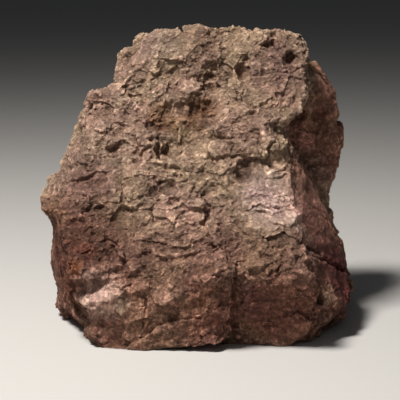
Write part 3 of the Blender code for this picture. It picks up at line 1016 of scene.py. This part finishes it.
# %% [markdown]
# ## The finish
#
# The colour is built in layers: two browns in clouds, darker and redder near the ground, then
# patches where the earth is stained and patches of painted light and shade, then shades for chips
# and grains with painted shade in the grains' gaps, then dust and a painted highlight on the
# edges, and dirt and painted shade in the hollows. It is all worked out from places on the object,
# so no picture can stretch or show a seam. Colours are written as they look on a screen and turned
# into the linear values that a shader needs.

# %% Colours
SCREEN_WHITE = 255
# a screen's curve: a straight foot up to the knee, and a power above it
KNEE = 0.04045
FOOT_SLOPE = 12.92
CURVE_LIFT = 0.055
CURVE_POWER = 2.4


def linear(part):
    """One part of a screen colour, from 0 to 1, as a linear value."""
    if part < KNEE:
        return part / FOOT_SLOPE
    return ((part + CURVE_LIFT) / (1 + CURVE_LIFT)) ** CURVE_POWER


def screen(red, green, blue):
    """A colour given as it looks on a screen, 0 to 255, in linear values."""
    return (*(linear(part / SCREEN_WHITE) for part in (red, green, blue)), 1)


TAN = screen(172, 145, 120)
PINK_BROWN = screen(164, 132, 115)
print("tan in linear values is", np.round(TAN, 2))

# %% Stained places, and places of painted light and shade
# name: (across, back, up, radius) in mm, softness, and what the colour is multiplied by. Some are
# stains of the earth, such as the blue, rust and red stains and the crumbly corner. Many others
# are painted light and shade: they lighten places that the lamps leave darker, such as the pale
# brow, and darken places that lie in shade, such as below the spall and the back lobe.
STAINS_AND_PAINTED_LIGHT = {
    "left shoulder": ((-36, -18, 70, 15), 0.8, (1.12, 1.20, 1.17)),
    "below the shoulder": ((-42, -28, 55, 19), 0.7, (0.72, 0.64, 0.66)),
    "left brow": ((-25, -12, 88, 16), 0.8, (1.14, 1.17, 1.18)),
    "olive middle": ((0, -19, 68, 14), 0.8, (1.08, 1.08, 1.08)),
    "brown bowl": ((-15, -9, 80, 8), 0.6, (0.74, 0.64, 0.53)),
    "olive bowl": ((-6, -9, 78, 8), 0.8, (0.88, 0.85, 0.70)),
    "ribbed bowl": ((1, -9, 84, 8), 0.6, (0.56, 0.45, 0.33)),
    "top left": ((-16, 3, 109, 13), 0.6, (0.80, 0.83, 0.88)),
    "top": ((1, 8, 107, 16), 0.8, (0.72, 0.67, 0.66)),
    "horn": ((31, -3, 99, 20), 0.6, (0.68, 0.63, 0.67)),
    "left middle": ((-37, -37, 39, 19), 0.8, (0.59, 0.50, 0.46)),
    "left side": ((-59, -26, 30, 30), 0.5, (0.60, 0.43, 0.38)),
    "below the spall": ((33, -36, 37, 10), 0.7, (0.76, 0.72, 0.72)),
    "tan right": ((13, -36, 38, 11), 0.8, (0.84, 0.81, 0.80)),
    "left foot": ((-28, -48, 10, 21), 0.7, (1.62, 1.58, 1.60)),
    "low middle": ((-6, -42, 29, 15), 0.7, (1.26, 1.32, 1.33)),
    "between the feet": ((4, -44, 14, 16), 0.7, (1.48, 1.30, 1.28)),
    "right foot": ((30, -42, 16, 20), 0.6, (0.93, 0.76, 0.77)),
    "right slope": ((47, -14, 50, 26), 0.4, (0.91, 0.70, 0.71)),
    "right slope's foot": ((59, -20, 22, 22), 0.5, (0.46, 0.24, 0.30)),
    "back lobe": ((57, 30, 76, 34), 0.4, (0.86, 0.64, 0.61)),
    "back lobe's top": ((52, 30, 98, 17), 0.6, (0.66, 0.64, 0.62)),
    "notch": ((39, 8, 71, 12), 0.6, (1.7, 1.5, 1.7)),
    "between face and spall": ((17, -31, 48, 9), 0.8, (0.86, 0.83, 0.82)),
    "spall": ((28, -31, 53, 18), 0.5, (1.38, 1.47, 1.70)),
    "spall's edge": ((33, -31, 51, 8), 0.7, (1.20, 1.22, 1.25)),
    "pale brow": ((-36, -45, 20, 13), 0.6, (1.85, 2.40, 2.65)),
    "pale knob": ((-12, -50, 22, 5), 0.7, (1.70, 1.80, 1.90)),
    "pale plates": ((-5, -34, 47, 13), 0.9, (1.45, 1.46, 1.48)),
    "crumbly corner": ((48, -34, 18, 5), 0.6, (2.6, 3.1, 3.2)),
    "blue stain": ((-53, -34, 36, 7), 0.8, (0.70, 0.84, 1.05)),
    "rust stain": ((-44, -43, 29, 4), 0.9, (1.60, 1.25, 0.85)),
    "red stain": ((-41, -42, 37, 6), 0.9, (1.15, 0.92, 0.93)),
}

print(len(STAINS_AND_PAINTED_LIGHT), "stained places")

# %% Stains
# (size in mm, detail, how rough it is), then where one brown goes over into the other
BROWN_CLOUDS = (24, 4, 0.6)
BROWN_EDGE = (0.38, 0.62)
# mm up: full below the first, none above the second
LOW_EARTH = (24, 56)
LOW_TINT = (0.72, 0.57, 0.55, 1)
WIDE_BEND = (12, 9)
NARROW_BEND = (3, 3)


def patch(net, place, middle, radius, softness):
    """1 inside a ball, falling softly to 0 at its rim."""
    inward = 1 - net.vector("DISTANCE", place, middle) / radius
    return inward.ramp(0, softness)


paint = Net(earth.node_tree)
shader = earth.node_tree.nodes["Principled BSDF"]
here = paint.vector("SCALE", paint.node("ShaderNodeTexCoord", out="Object"), 1 / MM)
ragged = bend(paint, bend(paint, here, *WIDE_BEND), *NARROW_BEND)

brown_share = paint.noise(here, *BROWN_CLOUDS).ramp(*BROWN_EDGE)
colour = paint.blend(brown_share, TAN, PINK_BROWN)
low_down = 1 - paint.vector("DOT_PRODUCT", ragged, UP).ramp(*LOW_EARTH)
colour = paint.blend(low_down, colour, LOW_TINT, "MULTIPLY")
# each patch multiplies the colour by its tint: a stain's colour for some, painted light and shade
# for the others
for (*middle, radius), softness, tint in STAINS_AND_PAINTED_LIGHT.values():
    share = patch(paint, ragged, tuple(middle), radius, softness)
    colour = paint.blend(share, colour, (*tint, 1), "MULTIPLY")
print("stains take", len(earth.node_tree.nodes), "nodes")

# %% [markdown]
# ### Chips, specks and streaks
#
# Fresh chips are paler than the skin round them, but only some of them: a random shade raised
# to a power stays low for most and comes up high for a few. Specks and grit are the stone's
# grains, and the gaps between the grit's grains are darkened as painted shade. Towards the foot,
# where water ran, there are upright streaks, so their noise is stretched.

# %% Chips and flecks
# pale ones: (how much paler, how rare they are)
PALE_CHIPS = (0.3, 2)
PALE_FLAKES = (0.7, 4)
PALE_FLECKS = (0.7, 5)
CHIP_TONE = 0.78
SLAB_TONE = 0.2
FLECK_TONE = 0.90
FLECK_SIZE = 1.2
FLECK_BEND = (0.7, 0.5)


def carried(name):
    """A number that the skin carries."""
    return paint.node("ShaderNodeAttribute", {"attribute_name": name}, out="Fac")


def pale_few(shade, gain, rarity):
    """How much paler each one is, when only a few are pale."""
    return gain * shade ** rarity


chip_tone = CHIP_TONE + pale_few(carried("chip_shade"), *PALE_CHIPS)
chip_tone = chip_tone + pale_few(carried("flake_shade"), *PALE_FLAKES)
chip_tone = chip_tone + SLAB_TONE * carried("slab_shade").centred()
flecks = packed(paint, here, FLECK_SIZE, FLECK_BEND, "Color")
fleck_shade = paint.vector("DOT_PRODUCT", flecks, (0, 1, 0))
fleck_tone = FLECK_TONE + pale_few(fleck_shade, *PALE_FLECKS)
print("flecks are", FLECK_SIZE, "mm wide")

# %% Specks, grit and streaks
# mottles: darkest tone, how much is added, then the noise's size in mm, detail and roughness
SPECKS = (0.30, 1.40, 0.9, 4, 0.8)
MOTTLES = (0.88, 0.24, 7, 3, 0.6)
GRIT_SIZE = 1.1
GRIT_BEND = (0.7, 0.6)
GRIT_MIDDLE = 0.45
GRIT_PATCHES = (8, 0.40, 0.60, 0.15, 0.75)
STREAK_STRETCH = (1, 1, 0.3)
STREAKS = (1.1, 4, 0.7)
STREAK_TONE = 2.2


def mottled(darkest, gain, *kind):
    """A tone that goes up and down with noise."""
    return darkest + gain * paint.noise(here, *kind)


gap = packed(paint, here, GRIT_SIZE, GRIT_BEND)
# darker gaps between the grit's grains: painted shade
grit_and_gap_shade = 1 + (GRIT_MIDDLE - gap) * patchwork(paint, here, *GRIT_PATCHES)
upright = paint.vector("MULTIPLY", here, STREAK_STRETCH)
streak = paint.noise(upright, *STREAKS).centred() * low_down
streak_tone = 1 + STREAK_TONE * streak
tones = chip_tone * mottled(*SPECKS) * mottled(*MOTTLES) * grit_and_gap_shade * streak_tone * fleck_tone
# the marks' tone: painted shade in the hollows, paler earth and painted light on the plates
colour = paint.vector("SCALE", colour, tones * carried("tone"))
print("with tones they take", len(earth.node_tree.nodes), "nodes")

# %% Dust and painted highlights, dirt and painted shade
# where the edges' pale dust and painted highlight start and are full, in mm of fine relief
EDGE_DUST_AND_HIGHLIGHT_DEPTHS = (0.02, 0.26)
EDGE_DUST_AND_HIGHLIGHT = (1.48, 1.52, 1.56, 1)
HOLLOW_DIRT_AND_SHADE = (0.88, 0.80, 0.77, 1)

fine = carried("fine_relief")
broad = carried("broad_relief")
# (how deep a point is, where the dirt and painted shade start and are full in mm, how strong it
# gets)
DIRT_AND_SHADE = (
    (-fine, 0.05, 0.40, 0.6),
    (-broad, 0.3, 1.8, 0.5),
    (carried("hollow"), 0.5, 2.6, 0.5),
)
# proud edges: pale dust and a painted highlight
colour = paint.blend(fine.ramp(*EDGE_DUST_AND_HIGHLIGHT_DEPTHS), colour, EDGE_DUST_AND_HIGHLIGHT, "MULTIPLY")
# fine creases, broad hollows, pits and cracks: dirt and painted shade
for deep, shallow, deepest, strength in DIRT_AND_SHADE:
    share = deep.ramp(shallow, deepest) * strength
    colour = paint.blend(share, colour, HOLLOW_DIRT_AND_SHADE, "MULTIPLY")
print("dirt lies in", len(DIRT_AND_SHADE), "kinds of hollow")

# %% [markdown]
# ### Grain
#
# Grains under half a millimetre are too small for mesh, so they are a bump: a height that only
# tips the light. It is the same chips and crumbs as in the relief, made smaller, with fine noise
# on top. Earth has no shine, so the finish is almost fully rough.

# %% Grain
# (size, step and lean), (size and depth), (patch size, start and full), in mm
SMALL_CHIPS = (1.7, 0.16, 0.32)
SMALL_CRUMBS = (0.9, 0.6)
SMALL_PATCHES = (8, 0.42, 0.58)
CLEAN_BUMP = 0.3
STREAK_BUMP = 4
GRAINS = (1.0, 5, 0.75)
GRAIN_DEPTH = 2.6
ROUGHNESS = 0.93
SHINE = 0.25

chip_bump, _ = chipped(paint, here, *SMALL_CHIPS)
crumb_bump = crumbled(paint, here, *SMALL_CRUMBS) * patchwork(paint, here, *SMALL_PATCHES)
grain_bump = (chip_bump + crumb_bump) * carried("weathered").lifted(CLEAN_BUMP)
grain_bump = grain_bump + STREAK_BUMP * streak
grain_bump = grain_bump + paint.noise(here, *GRAINS).centred() * GRAIN_DEPTH
bump_values = {"Strength": 1.0, "Distance": MM, "Height": grain_bump}
bump = paint.node("ShaderNodeBump", None, bump_values)

for name, value in {"Base Color": colour, "Normal": bump}.items():
    earth.node_tree.links.new(value.socket, shader.inputs[name])
shader.inputs["Roughness"].default_value = ROUGHNESS
shader.inputs["Specular IOR Level"].default_value = SHINE
print("the finish has", len(earth.node_tree.nodes), "nodes")

# %% [markdown]
# ## The floor
#
# One pale plane, large enough to fill the picture behind the rock. It isn't part of the object.

# %% Floor
FLOOR_HALF = 15.0
FLOOR_PALE = screen(186, 184, 181)
FLOOR_ROUGHNESS = 0.9

corners = [(-FLOOR_HALF, -FLOOR_HALF, 0), (FLOOR_HALF, -FLOOR_HALF, 0),
           (FLOOR_HALF, FLOOR_HALF, 0), (-FLOOR_HALF, FLOOR_HALF, 0)]
floor = bpy.data.objects.new("floor", bpy.data.meshes.new("floor"))
floor.data.from_pydata(corners, [], [(0, 1, 2, 3)])
bpy.context.scene.collection.objects.link(floor)
pale = bpy.data.materials.new("pale_floor")
pale.use_nodes = True
pale_shader = pale.node_tree.nodes["Principled BSDF"]
pale_shader.inputs["Base Color"].default_value = FLOOR_PALE
pale_shader.inputs["Roughness"].default_value = FLOOR_ROUGHNESS
floor.data.materials.append(pale)
print("the floor is", round(2 * FLOOR_HALF), "m wide")

# %% [markdown]
# ## The skin in place of the solid
#
# The skin stands for the solid, goes with the one body, and carries the earth finish.

# %% Finish
rock.data.shade_flat()
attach(rock, "root")
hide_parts("bauxite_rock")
